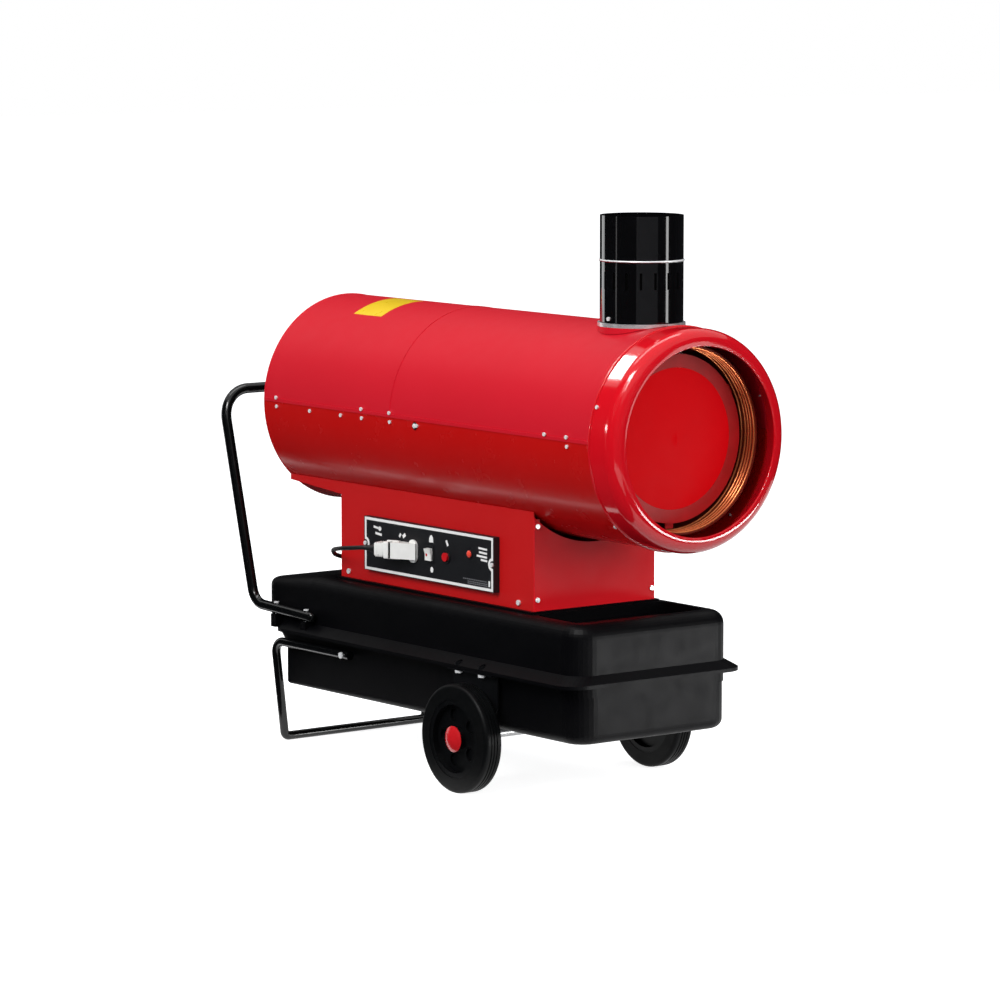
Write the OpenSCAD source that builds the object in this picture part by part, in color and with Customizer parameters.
// Indirect diesel heater on two wheels, with its fuel tank as the chassis.
// X runs to the hot air outlet, minus Y is the side with the switches, Z is up.
// The origin is on the floor, under the middle of the heater's length.

/* [Tank] */
// Height of the tank's underside above the floor
tank_z = 116.5; // [110:0.5:130]
// Height of the lower half, from the underside to the top of the flange's edge
tank_lower_h = 111.5; // [100:0.5:120]
// Height of the upper half, from the flange's edge to the deck
tank_upper_h = 105; // [95:1:120]
// Rear end of the upper half
tank_rear_x = -490; // [-500:0.5:-480]
// Length of the upper half
tank_len = 987; // [975:1:1000]
// Width of the tank without its flange
tank_w = 364; // [350:1:370]
// How far the lower half's rear end stands forward of the upper half's
tank_step = 67; // [60:1:80]
// Wall thickness of the moulding
tank_wall = 5; // [3:0.5:7]
// Radius of the upright corners
tank_corner_r = 45; // [35:1:60]
// Radius of the shoulder round the deck
tank_shoulder_r = 25; // [15:1:30]
// Radius of the shoulder at the rear end
rear_shoulder_r = 14; // [10:1:20]
// Fall of the deck behind the base box
deck_fall = 16; // [0:1:20]
// Radius of the edge round the underside
tank_sole_r = 18; // [10:1:25]
// Width by which the flange stands out at the sides
flange_out = 25; // [22:0.5:30]
// Length by which the flange stands out at the front
flange_front = 11.5; // [8:0.5:20]
// Thickness of the flange at its edge
flange_t = 6.5; // [5:0.5:9]
// Rise of the flange's top from its edge to the tank's wall
flange_rise = 15; // [8:1:18]
// Height of the plinth that carries the base box
plinth_h = 4; // [3:1:12]
// Depth of the tray in front of the base box
tray_depth = 22; // [10:1:35]
// Length of the tray
tray_len = 128; // [80:1:140]
// Bore radius of the filler neck
neck_r = 24; // [18:1:28]

/* [Base box] */
// Rear face of the base box
box_rear_x = -282.5; // [-295:0.5:-270]
// Length of the base box
box_len = 600; // [580:1:610]
// Width of the base box
box_w = 280; // [260:1:290]
// Height of the barrel's axis above the base box's underside
axis_up = 325; // [315:1:345]
// Thickness of the red sheet
sheet = 1.5; // [1:0.1:2]
// Width of the folded edges of the base box
fold_w = 14; // [10:1:18]

/* [Barrel] */
// Outside radius of the barrel
barrel_r = 199; // [190:1:204]
// Rear end of the barrel
barrel_rear_x = -455.5; // [-470:0.5:-445]
// Length of the barrel's shells
barrel_len = 1021.5; // [1000:0.5:1030]
// Height of the side seam above the barrel's axis
seam_up = 7; // [2:1:12]
// Place of the lap between the two upper shells, from the barrel's rear end
lap_at = 392; // [330:1:450]
// Length of the outlet ring
ring_len = 69; // [60:1:80]
// Radius of the ring's rounded nose
nose_r = 26; // [18:1:30]
// Length of ring that goes over the barrel's shells
ring_over = 14.5; // [10:0.5:20]

/* [Heat exchanger] */
// Outside radius of the exchanger drum
drum_r = 150; // [140:1:154]
// Front end of the drum, behind the outlet ring's front edge
drum_back = 76; // [70:1:95]
// Length of the drum
drum_len = 604; // [580:1:612]
// Outside radius of the combustion chamber
chamber_r = 115; // [100:1:125]
// Radius of the red front cap
cap_r = 127; // [115:1:132]
// Outside radius of the ribbed air liner
liner_r = 170; // [164:1:180]
// Length of the air liner
liner_len = 270; // [240:1:300]
// Front end of the liner, behind the outlet ring's front edge
liner_back = 48; // [40:1:60]

/* [Flue] */
// Outside radius of the flue pipe
flue_r = 75; // [65:1:80]
// Height of the flue pipe's top above the barrel's axis
flue_up = 394; // [340:1:420]
// Place of the flue, behind the front end of the barrel's shells
flue_back = 115; // [105:1:130]
// Number of slots round the flue pipe
flue_slots = 18; // [10:1:22]

/* [Burner and fan] */
// Outside radius of the fan
fan_r = 180; // [160:1:188]
// Number of fan blades
fan_blades = 6; // [4:1:8]
// Radius of the motor and fan shaft
shaft_r = 6; // [5:0.5:8]
// Outside radius of the motor
motor_r = 58; // [50:1:65]
// Length of the motor
motor_len = 140; // [120:1:150]
// Outside radius of the combustion air housing
scroll_r = 95; // [85:1:105]
// Outside radius of the burner tube
burner_r = 52; // [45:1:56]

/* [Wheels and stand] */
// Outside radius of the tyres
wheel_r = 100; // [90:1:108]
// Width of a tyre
wheel_w = 38; // [30:1:45]
// Distance from the middle to a wheel's outer face
wheel_out = 243; // [238:1:250]
// Place of the axle along the heater
axle_x = 211.5; // [190:0.5:230]
// Radius of the axle
axle_r = 8; // [6:0.5:10]
// Radius of the red hub caps
hub_cap_r = 24; // [20:1:28]
// Running clearance between a hub's bore and the axle
run_gap = 0.05; // [0.02:0.01:0.1]
// Width of a wheel bracket at the top
bracket_w = 133; // [110:1:150]
// Radius of the stand's tube
stand_r = 8.5; // [7:0.5:10]
// Place of the stand's legs along the heater
stand_x = -435; // [-445:0.5:-425]
// Lean of the legs, inwards, in degrees
stand_lean = 6.6; // [0:0.1:10]
// Radius of the bends at the top of the legs
stand_bend_r = 28; // [20:1:35]
// Radius of the bends at the foot
foot_bend_r = 10; // [10:1:25]
// Length of the stand's arms in front of the legs
stand_arm = 250.5; // [200:0.5:280]

/* [Push handle] */
// Radius of the handle's tube
handle_r = 10; // [8:0.5:12]
// Height of the grip's axis above the deck
grip_up = 339; // [300:1:380]
// Lean of the uprights, to the rear, in degrees
handle_lean = 15; // [8:0.1:18]
// Rise of the handle's arms, to the rear, in degrees
handle_rise = 2.2; // [0:0.1:6]
// Height of the arms' front ends above the flange
handle_arm_up = 30; // [26:1:45]
// Front end of the handle's arms, from the rear of the tank
handle_arm_end = 179; // [150:1:200]
// Place of the lower bends, from the rear of the tank
handle_bend_at = 16.5; // [5:0.5:30]
// Radius of the lower bends
handle_bend_r = 38; // [30:1:50]
// Radius of the upper bends
grip_bend_r = 60; // [45:1:75]

/* [Control panel] */
// Length of the control panel
panel_l = 406; // [390:1:420]
// Height of the control panel
panel_h = 102; // [90:1:110]
// How far the panel stands out from the base box
panel_out = 12.7; // [9:0.1:16]
// Middle of the panel along the heater
panel_x = 13; // [5:1:20]
// Underside of the panel above the base box's underside
panel_up = 24; // [18:1:30]
// Width of the rocker switch
rocker_w = 22; // [18:1:24]
// Height of the rocker switch
rocker_h = 28; // [24:1:32]
// Full swing of the rocker
rocker_swing = 16; // [10:1:20]
// Radius of the reset button
button_r = 8; // [6:0.5:9]
// Travel of the reset button
button_travel = 3; // [2:0.5:4]
// Radius of the lamp lens
lamp_r = 6.5; // [5:0.5:8]

/* [Mains lead] */
// Diameter of the mains lead
cord_d = 8.5; // [7:0.5:9]
// Outer radius of the coil's turns, at the middle of the lead
coil_r = 57; // [52:1:66]
// Turns in each layer of the coil
coil_turns = 2; // [1:1:3]

/* [Hidden] */
$fn = 96;
// Seat clearance between pieces that are fixed to each other
seat = 0.2;
// Cut allowance, so that a hole leaves the face it starts from
eps = 1;
// How far a tube's straight runs reach into its bends, and how much thinner they are
bend_lap = 1;
bend_step = 0.05;

// Tank, from the floor up
flange_z = tank_z + tank_lower_h;
deck_z = flange_z + tank_upper_h;
base_z = deck_z + plinth_h;
barrel_z = base_z + axis_up;
tank_front_x = tank_rear_x + tank_len;
tank_half = tank_w / 2;
lower_half = tank_half - 3;
lower_rear_x = tank_rear_x + tank_step;
slant_z = deck_z - 85;
slant_drop = 45;
fall_x = -330;
rear_deck_z = deck_z - deck_fall;
rear_corner_r = 20;
rear_sole_r = 6;
flange_x0 = tank_rear_x + 57;
flange_x1 = tank_front_x + flange_front;
flange_low_z = flange_z - flange_t;
neck_x = tank_rear_x + 99.5;
neck_y = 92;
neck_h = 20;
neck_wall = 5;
drain_x = lower_rear_x + 60;
drain_r = 8;
pickup_x = box_rear_x + 110;
pickup_y = 70;
pickup_r = 4;

// Base box and panel
box_front_x = box_rear_x + box_len;
box_half = box_w / 2;
tray_x = box_front_x + 12;
tray_half = box_half + 8;
panel_z = base_z + panel_up;
panel_mid_z = panel_z + panel_h / 2;
panel_face_y = -box_half - panel_out;
panel_x0 = panel_x - panel_l / 2;
panel_x1 = panel_x + panel_l / 2;
panel_wall = 2;
panel_screws = [panel_x0 + 5, panel_x1 - 5];
inlet_x = panel_x - 44.5;
rocker_x = panel_x + 6.5;
button_x = panel_x + 58.5;
lamp_x = panel_x + 129.5;
lamp_z = panel_mid_z + 13;

// Barrel and ring
barrel_front_x = barrel_rear_x + barrel_len;
seam_z = barrel_z + seam_up;
lap_x = barrel_rear_x + lap_at;
ring_x = barrel_front_x - ring_over;
ring_front_x = ring_x + ring_len;
ring_r = barrel_r + sheet + seat;
flue_x = barrel_front_x - flue_back;
flue_top_z = barrel_z + flue_up;
flue_wall = 1;
flue_foot_z = barrel_z + barrel_r + 5;
bead_z = flue_top_z - 80.5;
slot_z = flue_top_z - 130;
slot_h = 30;
slot_w = 4.5;
wing_rise = 13;
wing_h = 24;
wing_out = -4;

// Exchanger
drum_front_x = ring_front_x - drum_back;
drum_rear_x = drum_front_x - drum_len;
chamber_rear_x = drum_rear_x + sheet + seat;
chamber_len = drum_len - 80;
liner_front_x = ring_front_x - liner_back;
liner_x = liner_front_x - liner_len;
collar_r = flue_r - flue_wall - seat;
collar_foot_z = barrel_z + drum_r - 30;

// Fan, motor and burner, from the rear to the front
guard_x = barrel_rear_x + 8;
fan_x = barrel_rear_x + 62;
fan_depth = 50;
motor_x = fan_x + fan_depth + 22;
scroll_x = motor_x + motor_len + 6;
scroll_len = 62;
burner_x = scroll_x + scroll_len + seat;
burner_len = drum_rear_x + 70 - burner_x;
spoke_r = barrel_r - sheet - seat;

// Wheels, stand and handle
axle_z = wheel_r;
wheel_in = wheel_out - wheel_w;
tyre_in_r = wheel_r * 0.72;
bracket_y = wheel_in - 13;
bracket_t = 3;
bolt_xs = [axle_x - 40, axle_x + 30];
bolt_y = bracket_y + 8;
stand_y = tank_half + stand_r + seat;
stand_z = flange_z - 29;
stand_bolt_at = stand_arm - 16;
handle_y = tank_half + handle_r + seat;
handle_z = flange_z + handle_arm_up;
handle_front_x = tank_rear_x + handle_arm_end;
handle_bend_x = tank_rear_x + handle_bend_at;
handle_turn = 90 - handle_lean - handle_rise;
grip_z = deck_z + grip_up;
handle_arm_l = (handle_front_x - handle_bend_x) / cos(handle_rise);
bend_z = handle_z + handle_arm_l * sin(handle_rise);
bend_cx = handle_bend_x + handle_bend_r * sin(handle_rise);
bend_cz = bend_z + handle_bend_r * cos(handle_rise);
upright_x = bend_cx - handle_bend_r * cos(handle_lean);
upright_z = bend_cz - handle_bend_r * sin(handle_lean);
upright_len = (grip_z - upright_z) / cos(handle_lean) - grip_bend_r;
handle_bolts = [16, 116];
pad_half = 8;
nut_r = 7;

// Connector, along a line that leaves the panel at a low angle
inlet_turn = 25;
socket_len = 44;
plug_body_len = 36;
boot_len = 22;
lead_start = socket_len + plug_body_len + boot_len;
exit_x = inlet_x - lead_start * cos(inlet_turn);
exit_y = panel_face_y - lead_start * sin(inlet_turn);

// The mains lead, from the connector round the rear of the base box, over the
// deck, down the far side of the tank and along the floor to the coil
cord_r = cord_d / 2;
cord_end_x = -296;
cord_end_y = 350;
cord_floor_z = 4.3;
function step_out(d) = [
  exit_x - d * cos(inlet_turn), exit_y - d * sin(inlet_turn), panel_mid_z];
cord_points = [
  step_out(0), step_out(cord_d), [-160, -211, 409], [-190, -212, 405],
  [-220, -202, 399], [-250, -182, 391], [-275, -162, 383], [-291, -146, 377],
  [-296, -126, 371], [-297, -104, 365], [-297, -80, 358], [-297, -56, 350],
  [-297, -30, 343], [-297, 0, 338.6], [-297, 30, 337.5], [-297, 60, 337.5],
  [-297, 90, 337.5], [-297, 120, 337.5], [-297, 144, 338.2], [-297, 159, 338.4],
  [-297, 169, 336.2], [-297, 178.6, 330], [-297, 185.3, 320.6], [-297, 188, 308],
  [-297, 189.5, 288], [-297, 194, 268], [-297, 203, 250], [-297, 211.5, 236],
  [-297, 212.8, 222], [-297, 212.8, 190], [-297, 213, 150], [-297, 214, 110],
  [-297, 217, 72], [-297, 223, 46],
  [-297, 232, 27], [-297, 246, 12], [-297, 262, 6.2], [-297, 280, cord_floor_z],
  [-296.5, 300, cord_floor_z], [-296, 320, cord_floor_z],
  [-296, cord_end_y - cord_d, cord_floor_z], [-296, cord_end_y, cord_floor_z]
];

// The coil: spirals in on the floor, climbs a layer and spirals out again
coil_cx = cord_end_x + coil_r;
coil_cy = cord_end_y + cord_d;
coil_pitch = cord_d + 0.6;
coil_sweep = 720 * coil_turns;
coil_z1 = cord_floor_z;
coil_z2 = coil_z1 + coil_pitch;
function ease(t) = t < 0 ? 0 : t > 1 ? 1 : t * t * (3 - 2 * t);
function coil_rad(a) =
  coil_r - coil_pitch * (a < coil_sweep / 2 ? a : coil_sweep - a) / 360;
function coil_height(a) =
  coil_z1 + (coil_z2 - coil_z1) * ease((a - coil_sweep / 2 + 90) / 180);
function coil_point(a) = [
  coil_cx - coil_rad(a) * cos(a), coil_cy + coil_rad(a) * sin(a), coil_height(a)];
coil_step = 15;
coil_tail = 3 * cord_d;
coil_in = coil_point(0);
coil_out = coil_point(coil_sweep);
coil_points = concat(
  [coil_in - [0, cord_d, 0]],
  [for (a = [0 : coil_step : coil_sweep]) coil_point(a)],
  [coil_out + [0, coil_tail, 0]]
);
plug_y = coil_out[1] + coil_tail;
plug_x = coil_out[0];
plug_z = coil_out[2];

// Length of a path, and the least gap between turns that are not neighbours
function path_len(p, i = 0) =
  i > len(p) - 2 ? 0 : norm(p[i + 1] - p[i]) + path_len(p, i + 1);
function seg_gap(p, q, a, b) =
  min([for (t = [0 : 0.25 : 1]) for (u = [0 : 0.25 : 1])
    norm(p + t * (q - p) - a - u * (b - a))]);
coil_gap = min([
  for (i = [0 : 2 : len(coil_points) - 2])
    for (j = [i + 12 : 1 : len(coil_points) - 2])
      seg_gap(coil_points[i], coil_points[i + 1], coil_points[j], coil_points[j + 1])
]) - cord_d;
echo(least_gap_in_coil = coil_gap, coil_length = path_len(coil_points));
echo(free_length = path_len(cord_points));

// A tube of round section swept along points
function unit(v) = v / norm(v);
function tangent(p, i) =
  i == 0 ? unit(p[1] - p[0]) :
  i == len(p) - 1 ? unit(p[i] - p[i - 1]) :
  unit(unit(p[i] - p[i - 1]) + unit(p[i + 1] - p[i]));
function carried(n, t) = unit(n - (n * t) * t);
function normals(p, n, i = 0) =
  i == len(p) ? [] :
  let (m = carried(n, tangent(p, i))) concat([m], normals(p, m, i + 1));
module swept(p, r, sides, up = [0, 0, 1]) {
  ns = normals(p, up);
  rings = [
    for (i = [0 : len(p) - 1])
      let (t = tangent(p, i), n = ns[i], b = cross(t, n))
        for (k = [0 : sides - 1])
          p[i] + r * (cos(360 * k / sides) * n + sin(360 * k / sides) * b)
  ];
  last = (len(p) - 1) * sides;
  walls = [
    for (i = [0 : len(p) - 2])
      for (k = [0 : sides - 1])
        let (a = i * sides + k, b = i * sides + (k + 1) % sides)
          each [[a, a + sides, b + sides], [a, b + sides, b]]
  ];
  foot = [for (k = [0 : sides - 1]) k];
  head = [for (k = [sides - 1 : -1 : 0]) last + k];
  polyhedron(points = rings, faces = concat([foot], walls, [head]), convexity = 10);
}

// Shared shapes
module round_rect(lx, ly, r) {
  square([lx - 2 * r, ly], center = true);
  square([lx, ly - 2 * r], center = true);
  for (sx = [-1, 1]) for (sy = [-1, 1])
    translate([sx * (lx / 2 - r), sy * (ly / 2 - r)]) circle(r);
}
module round_top(l, h, r) {
  translate([-l / 2, 0]) square([l, h - r]);
  translate([-l / 2 + r, 0]) square([l - 2 * r, h]);
  for (s = [-1, 1]) translate([s * (l / 2 - r), h - r]) circle(r);
}
module along_x(x) {
  translate([x, 0, barrel_z]) rotate([0, 90, 0]) children();
}
module tube(r, wall, h) {
  difference() {
    cylinder(r = r, h = h);
    translate([0, 0, -eps]) cylinder(r = r - wall, h = h + 2 * eps);
  }
}
module block(x0, x1, y0, y1, z0, z1) {
  translate([x0, y0, z0]) cube([x1 - x0, y1 - y0, z1 - z0]);
}
// A pan head screw whose head stands on the XY plane and whose shank goes down
module screw(head_r, head_h, shank_r, shank_l) {
  cylinder(r = head_r, h = head_h, $fn = 32);
  translate([0, 0, -shank_l]) cylinder(r = shank_r, h = shank_l + eps / 2, $fn = 32);
}
module hex_bolt(across, head_h, shank_r, shank_l) {
  cylinder(r = across / 2 / cos(30), h = head_h, $fn = 6);
  translate([0, 0, -shank_l]) cylinder(r = shank_r, h = shank_l + eps / 2, $fn = 32);
}
module both_sides() {
  children();
  mirror([0, 1, 0]) children();
}

// Fuel tank, each half with its walls moved in by i
module ball_corner(x, y, z, ring, r) {
  translate([x, y, z]) rotate_extrude($fn = 32) translate([ring, 0]) intersection() {
    circle(r, $fn = 32);
    translate([0, -r]) square([r, 2 * r]);
  }
}
module corner_post(x, y, z, h, r) {
  translate([x, y, z]) cylinder(r = r, h = h, $fn = 32);
}
module tank_upper(i) {
  front_ring = tank_corner_r - tank_shoulder_r;
  rear_ring = tank_corner_r - rear_shoulder_r;
  front_x = tank_front_x - tank_corner_r;
  rear_x = tank_rear_x + tank_corner_r;
  y = tank_half - tank_corner_r;
  post_r = tank_corner_r - i;
  low_z = slant_z - slant_drop + i;
  hull() for (s = [-1, 1]) {
    ball_corner(front_x, s * y, deck_z - tank_shoulder_r, front_ring, tank_shoulder_r - i);
    ball_corner(rear_x, s * y, rear_deck_z - rear_shoulder_r, rear_ring, rear_shoulder_r - i);
    translate([fall_x, s * (tank_half - tank_shoulder_r), deck_z - tank_shoulder_r])
      sphere(tank_shoulder_r - i, $fn = 32);
    corner_post(front_x, s * y, slant_z, 1, post_r);
    corner_post(rear_x, s * y, slant_z, 1, post_r);
  }
  hull() for (s = [-1, 1]) {
    corner_post(front_x, s * y, low_z, slant_z + 1 - low_z, post_r);
    corner_post(rear_x, s * y, slant_z, 1, post_r);
    corner_post(rear_x + slant_drop, s * y, low_z, 1, post_r);
  }
}
module tank_lower(i) {
  front_x = tank_front_x - tank_corner_r;
  rear_x = lower_rear_x + rear_corner_r;
  front_y = lower_half - tank_corner_r;
  rear_y = lower_half - rear_corner_r;
  hull() for (s = [-1, 1]) {
    ball_corner(front_x, s * front_y, tank_z + tank_sole_r, tank_corner_r - tank_sole_r,
      tank_sole_r - i);
    ball_corner(rear_x, s * rear_y, tank_z + rear_sole_r, rear_corner_r - rear_sole_r,
      rear_sole_r - i);
    corner_post(front_x, s * front_y, flange_z - 1, 1, tank_corner_r - i);
    corner_post(rear_x, s * rear_y, flange_z - 1, 1, rear_corner_r - i);
  }
}
module flange() {
  r = tank_corner_r;
  foot_y = tank_half + flange_out - r;
  translate([(flange_x0 + flange_x1) / 2, 0, flange_low_z]) linear_extrude(flange_t)
    round_rect(flange_x1 - flange_x0, tank_w + 2 * flange_out, r);
  hull() for (s = [-1, 1]) {
    for (x = [flange_x0 + r, flange_x1 - r])
      corner_post(x, s * foot_y, flange_z - 0.5, 0.5, r);
    for (x = [flange_x0 + r, tank_front_x - r])
      corner_post(x, s * (tank_half - r), flange_z + flange_rise - 0.5, 0.5, r);
  }
}
// Moulded pad under the handle's arm, round one of its bolts
module handle_pad(d) {
  top = handle_z + (d - pad_half) * sin(handle_rise) - handle_r - seat;
  block(handle_front_x - d - pad_half, handle_front_x - d + pad_half,
    -handle_y - pad_half, -tank_half + 2, flange_z - 1, top);
}
module tray_pocket(grow) {
  translate([tray_x + tray_len / 2, 0, deck_z - tray_depth - grow])
    linear_extrude(tray_depth + 2 * grow + eps)
      round_rect(tray_len + 2 * grow, 2 * (tray_half + grow), 20 + grow);
}
module fuel_tank() {
  color("#141416") difference() {
    union() {
      difference() {
        union() {
          tank_upper(0);
          tank_lower(0);
          flange();
          both_sides() for (d = handle_bolts) handle_pad(d);
        }
        difference() {
          union() {
            tank_upper(tank_wall);
            tank_lower(tank_wall);
          }
          tray_pocket(tank_wall);
        }
        tray_pocket(0);
      }
      block(box_rear_x - 10, box_front_x + 6, -tray_half, tray_half, deck_z - 2, base_z);
      translate([neck_x, neck_y, rear_deck_z - tank_wall])
        cylinder(r = neck_r + neck_wall, h = deck_z + neck_h - rear_deck_z + tank_wall);
      translate([drain_x, 0, tank_z]) cylinder(r = drain_r + 8, h = tank_wall + 6);
    }
    translate([neck_x, neck_y, rear_deck_z - tank_wall - eps])
      cylinder(r = neck_r, h = deck_z + neck_h - rear_deck_z + tank_wall + 2 * eps);
    translate([drain_x, 0, tank_z - eps]) cylinder(r = drain_r, h = tank_wall + 6 + 2 * eps);
    translate([pickup_x, pickup_y, deck_z - tank_wall - eps])
      cylinder(r = pickup_r + 4, h = tank_wall + plinth_h + 2 * eps);
    for (s = [-1, 1]) for (x = bolt_xs) translate([x, s * bolt_y, flange_z]) {
      translate([0, 0, -2 * flange_t]) cylinder(r = 4 + seat, h = 4 * flange_t, $fn = 32);
      cylinder(r = nut_r + 0.5, h = 2 * flange_rise);
    }
    both_sides() for (d = handle_bolts)
      translate([handle_front_x - d, -handle_y, flange_z - 3])
        cylinder(r = 2.5 + seat, h = 60, $fn = 32);
    both_sides() translate([stand_x + stand_bolt_at, -lower_half, stand_z])
      rotate([90, 0, 0]) cylinder(r = 3 + seat, h = 2 * stand_r, $fn = 32);
  }
}
module filler_cap() {
  r = neck_r + neck_wall;
  ribbed = [
    for (a = [0 : 3 : 357]) (r + 4.2 + 0.8 * cos(12 * a)) * [cos(a), sin(a)]
  ];
  color("#1b1b1d") translate([neck_x, neck_y, deck_z + 3]) difference() {
    linear_extrude(neck_h + 2) polygon(ribbed);
    translate([0, 0, -eps]) cylinder(r = r + 0.4, h = neck_h - 2.7 + eps);
  }
}
module filler_strainer() {
  r = neck_r - 0.4;
  color("#d8d8d0") translate([neck_x, neck_y, deck_z + neck_h]) {
    difference() {
      union() {
        translate([0, 0, -70]) cylinder(r = r, h = 70);
      }
      translate([0, 0, -68.5]) cylinder(r = r - 1.5, h = 70);
      for (a = [0 : 45 : 315]) rotate(a) translate([r - 3, -4, -62]) cube([6, 8, 36]);
    }
  }
}
module drain_plug() {
  color("#8d8f92") translate([drain_x, 0, tank_z]) {
    translate([0, 0, -1.8]) tube(drain_r + 5, 5 - seat, 1.6);
    translate([0, 0, -8]) cylinder(r = 9.5, h = 6.2, $fn = 6);
    translate([0, 0, -2]) cylinder(r = drain_r - seat, h = tank_wall + 6);
  }
}
module fuel_pickup() {
  color("#b08d3c") translate([pickup_x, pickup_y, 0]) {
    translate([0, 0, base_z + sheet + seat]) cylinder(r = 13, h = 4, $fn = 6);
    translate([0, 0, tank_z + 25]) cylinder(r = pickup_r, h = base_z + 24 - tank_z - 25);
    translate([0, 0, tank_z + 14]) cylinder(r = 9, h = 22);
  }
}

// Fuel line
filter_x = pickup_x + 60;
pump_x = filter_x + 70;
fuel_y = pickup_y;
filter_z = base_z + 60;
hose_a = [
  [pickup_x, pickup_y, base_z + 24.2], [pickup_x, pickup_y, base_z + 34],
  [pickup_x + 6, pickup_y, base_z + 46], [pickup_x + 20, pickup_y, base_z + 52],
  [pickup_x + 36, pickup_y, base_z + 46], [pickup_x + 50, pickup_y, base_z + 34],
  [filter_x - 2, pickup_y, base_z + 38], [filter_x, pickup_y, base_z + 49],
  [filter_x, pickup_y, filter_z - 6.2]
];
hose_b = [
  [filter_x, pickup_y, filter_z + 46.2], [filter_x, pickup_y, filter_z + 52],
  [filter_x + 8, pickup_y, filter_z + 60], [filter_x + 22, pickup_y, filter_z + 62],
  [filter_x + 38, pickup_y, filter_z + 58], [filter_x + 50, pickup_y, filter_z + 44],
  [pump_x - 4, pickup_y, filter_z + 24], [pump_x, pickup_y, filter_z + 10],
  [pump_x, pickup_y, filter_z + 0.2]
];
module fuel_filter() {
  color("#c9c2a0") translate([filter_x, fuel_y, filter_z]) {
    cylinder(r = 16, h = 40);
    translate([0, 0, -6]) cylinder(r = pickup_r, h = 52);
  }
  color("#9a9da0") difference() {
    block(filter_x - 10, filter_x + 10, fuel_y + 16 + seat, box_half - sheet - seat,
      filter_z + 12, filter_z + 28);
    translate([filter_x, fuel_y, filter_z]) cylinder(r = 16 + seat, h = 40);
  }
}
module fuel_hose() {
  color("#26262a") {
    swept(hose_a, pickup_r, 8, [0, 1, 0]);
    swept(hose_b, pickup_r, 8, [0, 1, 0]);
  }
}
module fuel_pump() {
  color("#6d7075") translate([pump_x, fuel_y, base_z + sheet + seat]) {
    translate([-22, -30, 0]) cube([44, 60, 3]);
    translate([0, 0, 3]) cylinder(r = 21, h = 46);
    translate([0, 0, 49]) cylinder(r = pickup_r, h = filter_z - base_z - sheet - seat - 49);
  }
}

// Chassis
leg_drop = stand_z - stand_r - foot_bend_r * (1 - sin(stand_lean));
leg_len = leg_drop / cos(stand_lean) - stand_bend_r;
foot_cy = -stand_y + (stand_bend_r + leg_len) * sin(stand_lean)
  + foot_bend_r * cos(stand_lean);
module elbow(bend, r, angle) {
  rotate_extrude(angle = angle) translate([bend, 0]) circle(r, $fn = 48);
}
// A straight run reaches a little way into the bends at its ends, where it is
// thinner by less than can be seen
module straight(r, l, foot = bend_lap, head = bend_lap) {
  translate([0, 0, -foot]) cylinder(r = r - bend_step, h = l + foot + head, $fn = 48);
}
module stand() {
  color("#17181a") {
    both_sides() {
      translate([stand_x, -stand_y, stand_z]) difference() {
        translate([stand_bend_r, 0, 0]) rotate([0, 90, 0])
          straight(stand_r, stand_arm - stand_bend_r, bend_lap, 0);
        translate([stand_bolt_at, 0, 0]) rotate([90, 0, 0])
          cylinder(r = 3 + seat, h = 3 * stand_r, center = true, $fn = 32);
      }
      translate([stand_x, -stand_y, stand_z]) rotate([stand_lean, 0, 0]) {
        translate([stand_bend_r, 0, -stand_bend_r]) rotate([90, 0, 0]) rotate(90)
          elbow(stand_bend_r, stand_r, 90);
        translate([0, 0, -stand_bend_r - leg_len]) straight(stand_r, leg_len);
      }
      translate([stand_x, foot_cy, stand_r + foot_bend_r]) rotate([90, 0, 90])
        rotate(180 + stand_lean) elbow(foot_bend_r, stand_r, 90 - stand_lean);
    }
    translate([stand_x, foot_cy, stand_r]) rotate([-90, 0, 0])
      straight(stand_r, -2 * foot_cy);
  }
}
module push_handle() {
  color("#141517") {
    both_sides() {
      difference() {
        translate([handle_front_x, -handle_y, handle_z]) rotate([0, handle_rise - 90, 0])
          rotate_extrude() intersection() {
            union() {
              square([handle_r - bend_step, handle_arm_l + bend_lap]);
              circle(handle_r - bend_step, $fn = 48);
            }
            translate([0, -handle_r]) square([handle_r, 2 * handle_arm_l]);
          }
        for (d = handle_bolts)
          translate([handle_front_x - d, -handle_y, handle_z])
            cylinder(r = 2.5 + seat, h = 5 * handle_r, center = true, $fn = 32);
      }
      translate([bend_cx, -handle_y, bend_cz]) rotate([90, 0, 0])
        rotate(180 + handle_lean) elbow(handle_bend_r, handle_r, handle_turn);
      translate([upright_x, -handle_y, upright_z]) rotate([0, -handle_lean, 0]) {
        straight(handle_r, upright_len);
        translate([0, grip_bend_r, upright_len]) rotate([0, 90, 0]) rotate(180)
          elbow(grip_bend_r, handle_r, 90);
      }
    }
    translate([upright_x, 0, upright_z]) rotate([0, -handle_lean, 0])
      translate([0, grip_bend_r - handle_y, upright_len + grip_bend_r]) rotate([-90, 0, 0])
        straight(handle_r, 2 * (handle_y - grip_bend_r));
  }
}
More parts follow.
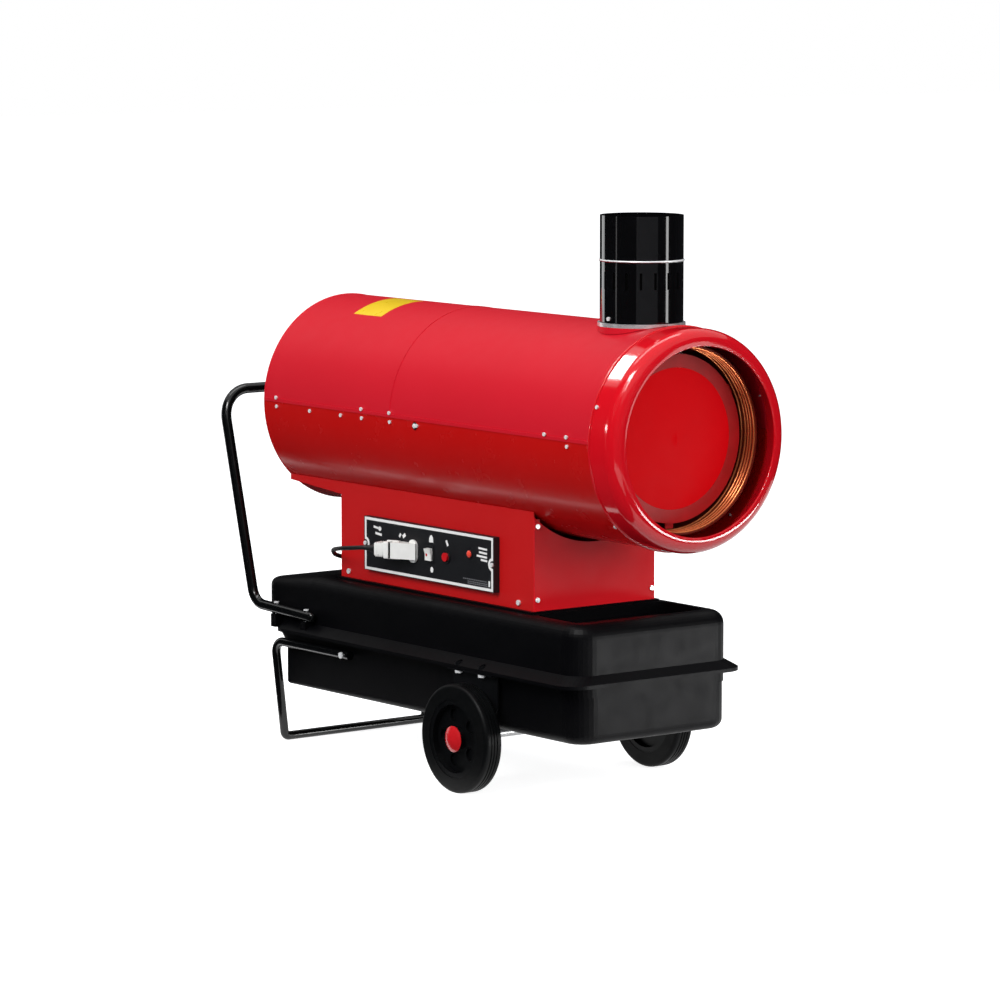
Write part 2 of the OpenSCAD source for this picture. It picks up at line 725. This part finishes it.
module chassis_bolts() {
  color("#a9abad") both_sides() {
    for (x = bolt_xs) translate([x, -bolt_y, flange_low_z - bracket_t - 2 * seat])
      rotate([180, 0, 0]) hex_bolt(12, 5, 4, flange_t + bracket_t + 5);
    for (x = bolt_xs) translate([x, -bolt_y, flange_z + seat]) tube(nut_r, 3 - seat, 5);
    translate([stand_x + stand_bolt_at, -stand_y - stand_r - seat, stand_z])
      rotate([90, 0, 0]) screw(6, 3, 3, 2 * stand_r + tank_half - lower_half + seat);
    for (d = handle_bolts)
      translate([handle_front_x - d, -handle_y,
        handle_z + (d + 5) * sin(handle_rise) + handle_r + seat])
        screw(5, 2.5, 2.5, handle_z + handle_r - flange_z);
  }
}
module axle() {
  color("#8f9294") {
    translate([axle_x, 0, axle_z]) rotate([90, 0, 0])
      cylinder(r = axle_r, h = 2 * (wheel_out - 4), center = true);
    both_sides() translate([axle_x, -bracket_y - 0.3, axle_z]) rotate([90, 0, 0])
      tube(axle_r + 6, 6 - seat, wheel_in - bracket_y - 0.6);
  }
}
module wheel_brackets() {
  top_z = flange_low_z - seat;
  w = bracket_w / 2;
  color("#1a1b1d") both_sides() difference() {
    union() {
      translate([0, -bracket_y + bracket_t, 0]) rotate([90, 0, 0]) linear_extrude(bracket_t)
        polygon([
          [axle_x - w, top_z], [axle_x - w, top_z - 62], [axle_x - 24, axle_z - 20],
          [axle_x + 24, axle_z - 20], [axle_x + w, top_z - 62], [axle_x + w, top_z]
        ]);
      block(axle_x - w, axle_x + w, -bracket_y - 14, -bracket_y + bracket_t,
        top_z - bracket_t, top_z);
    }
    translate([axle_x, 0, axle_z]) rotate([90, 0, 0])
      cylinder(r = axle_r + seat, h = 3 * wheel_out, center = true);
    for (x = bolt_xs) translate([x, -bolt_y, top_z - 2 * bracket_t])
      cylinder(r = 4 + seat, h = 3 * bracket_t, $fn = 32);
  }
}

// Wheels: the near one, and the far one as its mirror image
module tyre() {
  edge = 7;
  color("#1c1d1f") translate([axle_x, -wheel_out, axle_z]) rotate([-90, 0, 0])
    rotate_extrude() difference() {
      translate([tyre_in_r, 0]) union() {
        square([wheel_r - tyre_in_r - edge, wheel_w]);
        translate([0, edge]) square([wheel_r - tyre_in_r, wheel_w - 2 * edge]);
        for (z = [edge, wheel_w - edge])
          translate([wheel_r - tyre_in_r - edge, z]) circle(edge);
      }
      for (z = [wheel_w / 3, wheel_w / 2, wheel_w * 2 / 3])
        translate([wheel_r - 1.5, z - 1.25]) square([3, 2.5]);
    }
}
module wheel_centre() {
  r = tyre_in_r - seat;
  hub = axle_r + 12;
  color("#202124") translate([axle_x, -wheel_out + 1, axle_z]) rotate([-90, 0, 0])
    difference() {
      union() {
        translate([0, 0, 12]) cylinder(r = r, h = wheel_w - 24);
        tube(r, 9, wheel_w - 2);
        cylinder(r = hub, h = wheel_w - 1.3);
      }
      translate([0, 0, -eps]) cylinder(r = axle_r + run_gap, h = wheel_w + 2 * eps);
      for (a = [36 : 72 : 324]) rotate(a) translate([r * 0.6, 0, 12 - eps])
        cylinder(r = 12, h = 6, $fn = 48);
    }
}
module hub_cap() {
  color("#d01f26") translate([axle_x, -wheel_out + 1 - seat, axle_z]) rotate([90, 0, 0])
    rotate_extrude() difference() {
      intersection() {
        translate([0, -40]) circle(47.5);
        square([hub_cap_r, 20]);
      }
      square([axle_r + 2, 3]);
    }
}
module near_tyre() tyre();
module near_wheel_centre() wheel_centre();
module near_hub_cap() hub_cap();
module far_tyre() mirror([0, 1, 0]) tyre();
module far_wheel_centre() mirror([0, 1, 0]) wheel_centre();
module far_hub_cap() mirror([0, 1, 0]) hub_cap();

// Base box
wing_z = base_z + 157;
panel_inner = box_half - sheet;
panel_top_z = barrel_z - sqrt(barrel_r * barrel_r - panel_inner * panel_inner) - 0.4;
module side_sheet() {
  polygon([
    [box_rear_x, base_z], [box_front_x, base_z], [box_front_x, panel_top_z],
    [barrel_rear_x - wing_out, panel_top_z],
    [barrel_rear_x - wing_out, panel_top_z - wing_h + wing_rise],
    [box_rear_x, panel_top_z - wing_h]
  ]);
}
screw_z = base_z + 12;
side_screws = [box_rear_x + 26, box_front_x - 43];
front_screw_y = box_half - 7;
front_screw_zs = [base_z + 21, base_z + 155];
module side_panel() {
  difference() {
    union() {
      translate([0, -box_half + sheet, 0]) rotate([90, 0, 0])
        linear_extrude(sheet) side_sheet();
      block(box_front_x - sheet, box_front_x, -box_half, -box_half + fold_w,
        base_z, panel_top_z - 14);
      block(box_rear_x, box_rear_x + sheet, -box_half, -box_half + fold_w,
        base_z, panel_top_z - 14);
    }
    for (x = side_screws) translate([x, -box_half, screw_z]) rotate([90, 0, 0])
      cylinder(r = 2.5 + seat, h = 6 * sheet, center = true, $fn = 32);
    for (z = front_screw_zs) for (x = [box_rear_x, box_front_x])
      translate([x, -front_screw_y, z]) rotate([0, 90, 0])
        cylinder(r = 2.5 + seat, h = 6 * sheet, center = true, $fn = 32);
  }
}
module base_near_panel() {
  color("#c2242a") difference() {
    side_panel();
    block(panel_x0 + 12, panel_x1 - 12, -box_half - eps, -box_half + sheet + eps,
      panel_z + 10, panel_z + panel_h - 10);
    for (x = panel_screws) translate([x, -box_half, panel_mid_z]) rotate([90, 0, 0])
      cylinder(r = 2 + seat, h = 6 * sheet, center = true, $fn = 32);
  }
}
module base_far_panel() {
  color("#c2242a") mirror([0, 1, 0]) side_panel();
}
module end_panel(x0, x1, half) {
  gap = 8;
  difference() {
    translate([x0, 0, 0]) rotate([90, 0, 90]) linear_extrude(x1 - x0) difference() {
      translate([-half, base_z + seat]) square([2 * half, panel_top_z - base_z - 2]);
      translate([0, barrel_z]) circle(barrel_r + gap);
    }
    for (s = [-1, 1]) for (z = front_screw_zs)
      translate([x0, s * front_screw_y, z]) rotate([0, 90, 0])
        cylinder(r = 2.5 + seat, h = 6 * sheet, center = true, $fn = 32);
  }
}
module base_front_panel() {
  color("#a8262c") end_panel(box_front_x + seat, box_front_x + seat + sheet, box_half);
}
module base_rear_panel() {
  color("#a8262c") end_panel(box_rear_x - seat - sheet, box_rear_x - seat, panel_inner - seat);
}
module base_plate() {
  color("#9c2227") difference() {
    block(box_rear_x + sheet + seat, box_front_x - sheet - seat,
      -box_half + sheet + seat, box_half - sheet - seat, base_z + seat, base_z + sheet);
    translate([pickup_x, pickup_y, base_z - eps]) cylinder(r = pickup_r + 4, h = 5);
  }
}
module box_screws() {
  color("#c9cbcd") {
    both_sides() for (x = side_screws)
      translate([x, -box_half - seat, screw_z]) rotate([90, 0, 0]) screw(5, 3, 2.5, 6);
    both_sides() for (z = front_screw_zs) {
      translate([box_front_x + sheet + 2 * seat, -front_screw_y, z]) rotate([0, 90, 0])
        screw(4.5, 2.5, 2.5, 6);
      translate([box_rear_x - sheet - 2 * seat, -front_screw_y, z]) rotate([0, -90, 0])
        screw(4.5, 2.5, 2.5, 6);
    }
    for (x = panel_screws)
      translate([x, panel_face_y - seat, panel_mid_z]) rotate([90, 0, 0])
        screw(4, 2.5, 2, panel_out + 4);
  }
}

// Control panel and what is in it
module control_panel() {
  y1 = -box_half - seat;
  color("#1d1e22") difference() {
    block(panel_x0, panel_x1, panel_face_y, y1, panel_z, panel_z + panel_h);
    block(panel_x0 + 10, panel_x1 - 10, panel_face_y + panel_wall, y1 + eps,
      panel_z + panel_wall, panel_z + panel_h - panel_wall);
    block(rocker_x - rocker_w / 2, rocker_x + rocker_w / 2, panel_face_y - eps, y1,
      panel_mid_z - rocker_h / 2, panel_mid_z + rocker_h / 2);
    translate([button_x, panel_face_y - eps, panel_mid_z]) rotate([-90, 0, 0])
      cylinder(r = button_r + 2, h = panel_wall + 2 * eps);
    translate([lamp_x, panel_face_y - eps, lamp_z]) rotate([-90, 0, 0])
      cylinder(r = lamp_r + 1, h = panel_wall + 2 * eps);
    for (x = panel_screws)
      translate([x, panel_face_y - eps, panel_mid_z]) rotate([-90, 0, 0])
        cylinder(r = 2 + seat, h = panel_out + 2 * eps, $fn = 32);
  }
}
module power_inlet() {
  color("#e4e4e0") {
    translate([inlet_x, panel_face_y - seat, panel_mid_z]) rotate([90, 0, 0])
      linear_extrude(3) round_rect(26, 43, 12);
    difference() {
      translate([inlet_x, panel_face_y, panel_mid_z]) rotate([0, 0, 180 + inlet_turn])
        translate([-10, -13, -15]) cube([socket_len + 10, 26, 30]);
      block(inlet_x - 90, inlet_x + 90, panel_face_y - seat - 0.5, panel_face_y + 60,
        panel_z - 20, panel_z + panel_h + 20);
    }
  }
}
module switch_frame() {
  t = 2;
  color("#0f0f11") difference() {
    union() {
      block(rocker_x - rocker_w / 2 - 2, rocker_x + rocker_w / 2 + 2,
        panel_face_y - t, panel_face_y - seat,
        panel_mid_z - rocker_h / 2 - 2, panel_mid_z + rocker_h / 2 + 2);
      block(rocker_x - rocker_w / 2 + seat, rocker_x + rocker_w / 2 - seat,
        panel_face_y - t, panel_face_y + 24,
        panel_mid_z - rocker_h / 2 + seat, panel_mid_z + rocker_h / 2 - seat);
    }
    block(rocker_x - rocker_w / 2 + 1.5, rocker_x + rocker_w / 2 - 1.5,
      panel_face_y - t - eps, panel_face_y + 14,
      panel_mid_z - rocker_h / 2 + 1.5, panel_mid_z + rocker_h / 2 - 1.5);
  }
}
module switch_rocker() {
  w = rocker_w / 2 - 1.8;
  h = rocker_h / 2 - 3;
  color("#ecebe6")
    translate([rocker_x, panel_face_y + 1, panel_mid_z]) rotate([rocker_swing / 2, 0, 0])
      rotate([90, 0, 90]) translate([0, 0, -w]) linear_extrude(2 * w)
        polygon([[-8, h], [-6.5, 0], [-8, -h], [2, -h + 0.5], [4, 0], [2, h - 0.5]]);
}
module panel_bezels() {
  color("#2b2b2e") {
    translate([button_x, panel_face_y - seat, panel_mid_z]) rotate([90, 0, 0])
      tube(button_r + 4, 3.5, 2);
    translate([button_x, panel_face_y - seat, panel_mid_z]) rotate([-90, 0, 0])
      tube(button_r + 1.8, 1.3, 16);
    translate([lamp_x, panel_face_y - seat, lamp_z]) rotate([90, 0, 0])
      tube(lamp_r + 2.5, 2.3, 1.5);
  }
}
module reset_button() {
  color("#c01820") translate([button_x, panel_face_y - 6, panel_mid_z])
    rotate([-90, 0, 0]) {
      cylinder(r = button_r, h = 14);
      translate([0, 0, 13]) cylinder(r = 2, h = 6);
    }
}
module lamp_lens() {
  color("#d93a32") translate([lamp_x, panel_face_y, lamp_z]) rotate([90, 0, 0]) {
    translate([0, 0, -10]) cylinder(r = lamp_r, h = 12.5);
    translate([0, 0, 2.5]) intersection() {
      translate([0, 0, 3 - 8.5]) sphere(8.5);
      cylinder(r = lamp_r, h = 4);
    }
  }
}
module burner_control() {
  color("#2f3338") translate([panel_x + 90, -box_half + 34, base_z + sheet + seat]) {
    translate([-50, -30, 0]) cube([100, 60, 14]);
    translate([-46, -27, 14]) cube([92, 54, 50]);
  }
}
module terminal_block() {
  color("#dedbd0") translate([panel_x - 30, -box_half + 30, base_z + sheet + seat])
    difference() {
      translate([-36, -12, 0]) cube([72, 24, 20]);
      for (i = [0 : 5]) translate([i * 12 - 30, 0, 8]) cylinder(r = 3, h = 20, $fn = 24);
    }
}
module ignition_transformer() {
  color("#3b3f45") translate([panel_x + 70, box_half - 52, base_z + sheet + seat]) {
    translate([-55, -32, 0]) cube([110, 64, 3]);
    translate([-45, -30, 3]) cube([90, 60, 62]);
    for (s = [-1, 1]) translate([s * 20, 0, 65]) cylinder(r = 8, h = 16, $fn = 32);
  }
}
module limit_thermostat() {
  color("#c8c4b8") translate([lap_x + 330, 0, barrel_z]) rotate([118, 0, 0])
    translate([0, 0, drum_r + seat]) {
      cylinder(r = 11, h = 5, $fn = 48);
      cylinder(r = 7, h = 13, $fn = 48);
    }
}

// Barrel shells
shell_screw_xs = [
  44.5, lap_at - 67.5, lap_at + 22, barrel_len - 139, barrel_len - 76];
lower_screw_xs = [
  44.5, 155, 256.5, lap_at - 67.5, lap_at + 22, lap_at + 106.5, barrel_len - 76];
hole_up = seam_z + 4;
hole_low = seam_z - 13;
// Length of the rolled rim at the barrel's rear end
rim_l = 5;
// Angles, from the top, of the screws that hold the outlet ring
ring_screw_x = ring_x + 10;
ring_screws = [70, 290];
low_screw_x = ring_x - 7;
low_screws = [138, 222];
// Turns its children to an angle round the barrel, measured from the top
module round_barrel(x, a) {
  along_x(x) rotate(a + 180) rotate([0, 90, 0]) children();
}
module seam_holes() {
  for (s = [-1, 1]) {
    for (x = shell_screw_xs) translate([barrel_rear_x + x, s * barrel_r, hole_up])
      rotate([90, 0, 0]) cylinder(r = 2 + seat, h = 16, center = true, $fn = 32);
    for (x = lower_screw_xs) translate([barrel_rear_x + x, s * barrel_r, hole_low])
      rotate([90, 0, 0]) cylinder(r = 2 + seat, h = 16, center = true, $fn = 32);
  }
}
module upper_part(x0, x1, hem_x0) {
  difference() {
    union() {
      difference() {
        along_x(x0) tube(barrel_r, sheet, x1 - x0);
        block(x0 - eps, x1 + eps, -2 * barrel_r, 2 * barrel_r, 0, seam_z + seat);
      }
      both_sides() {
        y = -barrel_r;
        block(hem_x0, x1, y - sheet - seat, y - seat, seam_z - 4.5, seam_z + sheet + seat);
        block(hem_x0, x1, y - sheet - seat, y + 1, seam_z + seat, seam_z + sheet + seat);
      }
    }
    seam_holes();
  }
}
module upper_rear_shell() {
  color("#dc2030") {
    upper_part(barrel_rear_x, lap_x - seat, barrel_rear_x + rim_l);
    difference() {
      along_x(barrel_rear_x) rotate_extrude() translate([barrel_r - 1, 2]) circle(2, $fn = 32);
      block(barrel_rear_x - 9, barrel_rear_x + 9, -2 * barrel_r, 2 * barrel_r, 0,
        seam_z + seat);
    }
  }
}
module upper_front_shell() {
  color("#dc2030") difference() {
    union() {
      upper_part(lap_x, barrel_front_x, lap_x);
      difference() {
        along_x(lap_x) tube(barrel_r + 0.7, 0.9, 20);
        block(lap_x - eps, lap_x + 25, -2 * barrel_r, 2 * barrel_r, 0, seam_z + 10);
      }
    }
    translate([flue_x, 0, barrel_z]) cylinder(r = collar_r + seat + 0.3, h = 2 * barrel_r);
    ring_step();
    for (a = ring_screws) round_barrel(ring_screw_x, a)
      cylinder(r = 2 + seat, h = 2 * barrel_r, $fn = 32);
  }
}
// Room for the outlet ring at the front end of the seam's folded edges
module ring_step() {
  along_x(ring_x - seat) tube(barrel_r + 20, 20 - seat / 2, ring_len);
}
module lower_shell() {
  color("#b92128") difference() {
    union() {
      along_x(barrel_rear_x) tube(barrel_r, sheet, barrel_len);
      along_x(barrel_rear_x) rotate_extrude() translate([barrel_r - 1, 2]) circle(2, $fn = 32);
    }
    block(barrel_rear_x - 9, barrel_front_x + eps, -2 * barrel_r, 2 * barrel_r,
      seam_z, barrel_z + 2 * barrel_r);
    seam_holes();
    for (a = low_screws) round_barrel(low_screw_x, a)
      cylinder(r = 2 + seat, h = 2 * barrel_r, $fn = 32);
    block(pickup_x - 20, pickup_x + 260, -60, 60, 0, barrel_z - 60);
  }
}
module shell_screws() {
  color("#c4c6c8") {
    for (s = [-1, 1]) {
      for (x = shell_screw_xs)
        translate([barrel_rear_x + x, s * (barrel_r + sheet + 2 * seat), hole_up])
          rotate([-s * 90, 0, 0]) screw(3.6, 2.2, 2, 9);
      for (x = lower_screw_xs)
        translate([barrel_rear_x + x, s * (barrel_r + seat), hole_low])
          rotate([-s * 90, 0, 0]) screw(3.6, 2.2, 2, 8);
    }
    both_sides() translate([flue_x, -flue_r - seat, flue_foot_z + 7]) rotate([90, 0, 0])
      screw(3.6, 2.2, 2, flue_wall + 2);
    for (a = ring_screws) round_barrel(ring_screw_x, a)
      translate([0, 0, ring_r + seat]) screw(3.6, 2.2, 2, 5);
    for (a = low_screws) round_barrel(low_screw_x, a)
      translate([0, 0, barrel_r + seat]) screw(3.6, 2.2, 2, 5);
  }
}
module outlet_ring() {
  nose_x = ring_front_x - nose_r;
  color("#d8202c") difference() {
    along_x(0) rotate_extrude() {
      translate([ring_r - sheet, ring_x]) square([sheet, nose_x - ring_x]);
      translate([ring_r, ring_x + 2.5]) circle(2.5, $fn = 32);
      intersection() {
        translate([ring_r - nose_r, nose_x]) difference() {
          circle(nose_r);
          circle(nose_r - sheet);
        }
        translate([ring_r - nose_r, nose_x]) square(2 * nose_r);
      }
      translate([ring_r - nose_r - 3, ring_front_x - sheet]) square([3.2, sheet]);
      translate([ring_r - nose_r - 3, ring_front_x - 2.2]) circle(2.2, $fn = 32);
    }
    along_x(ring_x - 1) cylinder(r = barrel_r + seat, h = ring_over + 2);
    for (a = ring_screws) round_barrel(ring_screw_x, a)
      cylinder(r = 2 + seat, h = 2 * barrel_r, $fn = 32);
  }
}
module intake_guard() {
  bar = 3;
  color("#1e1f21") along_x(guard_x) {
    for (r = [40 : 15 : 175]) tube(r, bar, bar);
    for (a = [20 : 60 : 320]) rotate(a) translate([30, -bar / 2, 0])
      cube([spoke_r - 32, bar, bar]);
    cylinder(r = 34, h = bar);
    tube(spoke_r, 8, bar);
  }
}

// Fan, motor and burner
module fan() {
  hub = 38;
  color("#8b8e92") along_x(fan_x) difference() {
    union() {
      cylinder(r = hub, h = fan_depth - 8);
      intersection() {
        tube(fan_r, fan_r - hub + 4, fan_depth);
        for (i = [0 : fan_blades - 1]) rotate(i * 360 / fan_blades)
          translate([0, 0, fan_depth / 2]) rotate([34, 0, 0])
            translate([hub - 3, -38, -1]) cube([fan_r, 76, 2]);
      }
    }
    translate([0, 0, -eps]) cylinder(r = shaft_r + seat / 2, h = fan_depth + 2 * eps);
  }
}
module motor() {
  color("#5c6066") difference() {
    union() {
      along_x(motor_x) {
        cylinder(r = motor_r, h = motor_len);
        for (x = [14 : 12 : motor_len - 16]) translate([0, 0, x])
          cylinder(r = motor_r + 3, h = 4);
      }
      along_x(motor_x + motor_len - 1) cylinder(r = 30, h = 7 - seat);
    }
    along_x(motor_x - eps) cylinder(r = shaft_r + run_gap, h = motor_len + 20);
  }
}
bracket_len = 30;
bracket_x = motor_x + motor_len / 2 - bracket_len / 2;
module motor_bracket() {
  color("#7a7d81") along_x(bracket_x) {
    tube(motor_r + 3 + seat + 3, 3, bracket_len);
    for (a = [0 : 90 : 270]) rotate(a + 45) translate([motor_r + 5, -12, 0])
      cube([spoke_r - motor_r - 5.5, 24, 3]);
    for (a = [0 : 90 : 270]) rotate(a + 45) intersection() {
      translate([spoke_r - 6, -12, 0]) cube([8, 24, bracket_len]);
      tube(spoke_r, 3, bracket_len);
    }
  }
}
module motor_shaft() {
  color("#b5b7ba") along_x(fan_x - 8) {
    cylinder(r = shaft_r, h = scroll_x + scroll_len - 18 - fan_x + 8);
    translate([0, 0, 7 - 9]) cylinder(r = 9, h = 9 - seat, $fn = 6);
  }
}
module blower_impeller() {
  h = scroll_len - 26;
  color("#a2a5a8") along_x(scroll_x + 8) difference() {
    union() {
      cylinder(r = scroll_r - 18, h = 2);
      cylinder(r = 16, h = h - 8);
      for (i = [0 : 23]) rotate(i * 15) translate([scroll_r - 32, -1, 0])
        rotate(20) cube([13, 2, h]);
    }
    translate([0, 0, -eps]) cylinder(r = shaft_r + seat / 2, h = h + 2 * eps);
  }
}
module blower_housing() {
  color("#3c4046") along_x(scroll_x) difference() {
    cylinder(r = scroll_r, h = scroll_len);
    translate([0, 0, 3]) cylinder(r = scroll_r - 3, h = scroll_len - 6);
    translate([0, 0, -eps]) cylinder(r = shaft_r + 2, h = 10);
    translate([0, 0, scroll_len - 10]) cylinder(r = burner_r - 6, h = 20);
    for (a = [20 : 40 : 340]) rotate(a) translate([60, 0, -eps])
      cylinder(r = 9, h = 6, $fn = 32);
  }
}
module burner_tube() {
  color("#8f8b84") along_x(burner_x) {
    tube(burner_r + 14, 16, 4);
    tube(burner_r, 2, burner_len);
    translate([0, 0, burner_len - 30]) difference() {
      cylinder(r = burner_r - 1, h = 2);
      translate([0, 0, -eps]) cylinder(r = 16, h = 5);
    }
    translate([0, 0, 10]) cylinder(r = 6, h = burner_len - 34);
    translate([0, 0, burner_len - 24]) cylinder(r = 8, h = 14, $fn = 6);
    for (a = [0 : 120 : 240]) rotate(a) translate([5, -1.5, 10])
      cube([burner_r - 6, 3, 12]);
    for (s = [-1, 1]) translate([-12, s * 9, 12]) cylinder(r = 2, h = burner_len - 16, $fn = 24);
    for (s = [-1, 1]) translate([-12, s * 9 - 2, 14]) cube([12, 4, 8]);
  }
}

// Heat exchanger
module combustion_chamber() {
  color("#b8b2a8") difference() {
    union() {
      along_x(chamber_rear_x) tube(chamber_r, sheet, chamber_len);
      along_x(chamber_rear_x + chamber_len - sheet) cylinder(r = chamber_r, h = sheet);
      along_x(chamber_rear_x) tube(chamber_r, chamber_r - burner_r - 1, sheet);
      for (x = [30, chamber_len - 30]) along_x(chamber_rear_x + x)
        for (a = [60 : 120 : 300]) rotate(a) translate([chamber_r - 0.5, -10, 0])
          cube([drum_r - sheet - chamber_r - 0.3, 20, sheet]);
    }
    for (x = [chamber_len - 150 : 30 : chamber_len - 60]) for (a = [135 : 30 : 225])
      along_x(chamber_rear_x + x) rotate(a) rotate([0, 90, 0])
        translate([0, 0, chamber_r - 10]) cylinder(r = 9, h = 20, $fn = 32);
  }
}
module exchanger_drum() {
  color("#8e1a1f") difference() {
    union() {
      along_x(drum_rear_x) tube(drum_r, sheet, drum_len);
      along_x(drum_rear_x) tube(drum_r, drum_r - burner_r - 1, sheet);
      along_x(drum_front_x - sheet) tube(drum_r, drum_r - cap_r - seat, sheet);
      along_x(drum_front_x - 2) tube(drum_r + 1.5, 3, 2);
    }
    translate([flue_x, 0, barrel_z]) cylinder(r = collar_r + seat, h = 2 * drum_r);
  }
}
cap_rise = 8;
cap_ball_r = (cap_r * cap_r + cap_rise * cap_rise) / (2 * cap_rise);
stud_at = 60;
stud_x = chamber_rear_x + chamber_len + seat;
stud_end_x = drum_front_x + cap_rise - sheet / 2 - cap_ball_r
  + sqrt(cap_ball_r * cap_ball_r - stud_at * stud_at);
module exchanger_cap() {
  color("#c8101c") {
    along_x(drum_front_x) rotate_extrude() intersection() {
      translate([0, cap_rise - cap_ball_r]) difference() {
        circle(cap_ball_r, $fn = 400);
        circle(cap_ball_r - sheet, $fn = 400);
      }
      translate([0, -sheet * 1.2]) square([cap_r, 2 * cap_rise]);
    }
    // Studs that hold the cap to the chamber's front end
    along_x(stud_x) for (a = [0 : 120 : 240]) rotate(a) translate([stud_at, 0, 0])
      cylinder(r = 4, h = stud_end_x - stud_x, $fn = 32);
  }
}
module air_liner() {
  rib = 2.5;
  color("#b8643c") difference() {
    along_x(liner_x) rotate_extrude() {
      translate([liner_r - sheet - rib, 0]) square([sheet, liner_len - 30]);
      for (i = [0 : 3]) translate([liner_r - sheet - rib, liner_len - 30 + i * 8])
        square([sheet + (i % 2 == 0 ? rib : 0), 8]);
      translate([liner_r - 1.5, liner_len - 1.5]) circle(1.5, $fn = 24);
      translate([liner_r - sheet - rib, liner_len - 3]) square([sheet + 1, 3]);
    }
    translate([flue_x, 0, barrel_z]) cylinder(r = collar_r + 3, h = 2 * liner_r);
  }
}
bracket_angles = [0, 120, 240];
module exchanger_brackets() {
  in_r = liner_r - 4 - seat;
  color("#6f2a2a") {
    for (a = bracket_angles) {
      along_x(liner_front_x - 44) rotate(a) {
        translate([drum_r + seat, -9, 0]) cube([in_r - drum_r - 3.6, 18, 3]);
        translate([liner_r - 2.5 + seat, -9, 0]) cube([spoke_r - liner_r + 1.6, 18, 3]);
      }
      along_x(drum_rear_x + 60) rotate(a) translate([drum_r + seat, -12, 0])
        cube([spoke_r - drum_r - 0.6, 24, 3]);
    }
  }
}

// Flue
module flue_holes() {
  translate([flue_x, 0, flue_foot_z + 7]) rotate([90, 0, 0])
    cylinder(r = 2 + seat, h = 3 * flue_r, center = true, $fn = 32);
}
module flue_collar() {
  color("#c9cccf") {
    difference() {
      translate([flue_x, 0, collar_foot_z])
        tube(collar_r, flue_wall, slot_z + slot_h + 8 - collar_foot_z);
      flue_holes();
    }
    difference() {
      translate([flue_x, 0, barrel_z + barrel_r - 20])
        tube(flue_r + 4, flue_r + 4 - collar_r + flue_wall / 2, 24);
      along_x(flue_x - 2 * flue_r) cylinder(r = barrel_r + 1, h = 4 * flue_r);
      translate([flue_x, 0, flue_foot_z - 0.3]) tube(flue_r + 6, flue_wall + 7, 30);
    }
  }
}
module flue_pipe() {
  h = flue_top_z - flue_foot_z;
  color("#16171a") difference() {
    union() {
      translate([flue_x, 0, flue_foot_z]) tube(flue_r, flue_wall, h);
      translate([flue_x, 0, bead_z]) rotate_extrude()
        translate([flue_r - 0.4, 0]) circle(2, $fn = 32);
    }
    translate([flue_x, 0, bead_z - 5]) cylinder(r = flue_r - flue_wall, h = 10);
    for (i = [0 : flue_slots - 1])
      translate([flue_x, 0, slot_z]) rotate(i * 360 / flue_slots)
        translate([flue_r - 4, -slot_w / 2, 0]) cube([8, slot_w, slot_h]);
    flue_holes();
  }
}

// Mains lead
module cord_connector() {
  color("#e6e6e2") translate([inlet_x, panel_face_y, panel_mid_z])
    rotate([0, 0, 180 + inlet_turn]) translate([socket_len + seat, 0, 0]) {
      translate([0, -14, -16]) cube([plug_body_len * 0.4, 28, 32]);
      translate([0, -11, -13]) cube([plug_body_len, 22, 26]);
      translate([plug_body_len - 0.1, 0, 0]) rotate([0, 90, 0])
        cylinder(r1 = cord_r + 4, r2 = cord_r + 1, h = boot_len - seat, $fn = 48);
    }
}
module cord() {
  color("#17171a") swept(cord_points, cord_r, 8);
}
module cord_coil() {
  color("#17171a") swept(coil_points, cord_r, 6);
}
module mains_plug() {
  color("#1a1a1d") translate([plug_x, plug_y, plug_z]) {
    rotate([-90, 0, 0]) cylinder(r1 = cord_r + 1, r2 = cord_r + 4, h = 30, $fn = 48);
    translate([0, 30 + 22, 0]) translate([-18, -22, -13]) cube([36, 40, 26]);
    for (s = [-1, 1]) translate([s * 9.5, 60, 0]) rotate([-90, 0, 0])
      cylinder(r = 2.4, h = 29, $fn = 32);
  }
}

fuel_tank();
filler_cap();
filler_strainer();
drain_plug();
fuel_pickup();
fuel_filter();
fuel_hose();
fuel_pump();
stand();
push_handle();
chassis_bolts();
axle();
wheel_brackets();
near_tyre();
near_wheel_centre();
near_hub_cap();
far_tyre();
far_wheel_centre();
far_hub_cap();
base_near_panel();
base_far_panel();
base_front_panel();
base_rear_panel();
base_plate();
box_screws();
control_panel();
power_inlet();
switch_frame();
switch_rocker();
panel_bezels();
reset_button();
lamp_lens();
burner_control();
limit_thermostat();
terminal_block();
ignition_transformer();
upper_rear_shell();
upper_front_shell();
lower_shell();
shell_screws();
outlet_ring();
intake_guard();
fan();
motor();
motor_bracket();
motor_shaft();
blower_impeller();
blower_housing();
burner_tube();
combustion_chamber();
exchanger_drum();
exchanger_cap();
exchanger_brackets();
air_liner();
flue_collar();
flue_pipe();
cord_connector();
cord();
cord_coil();
mains_plug();
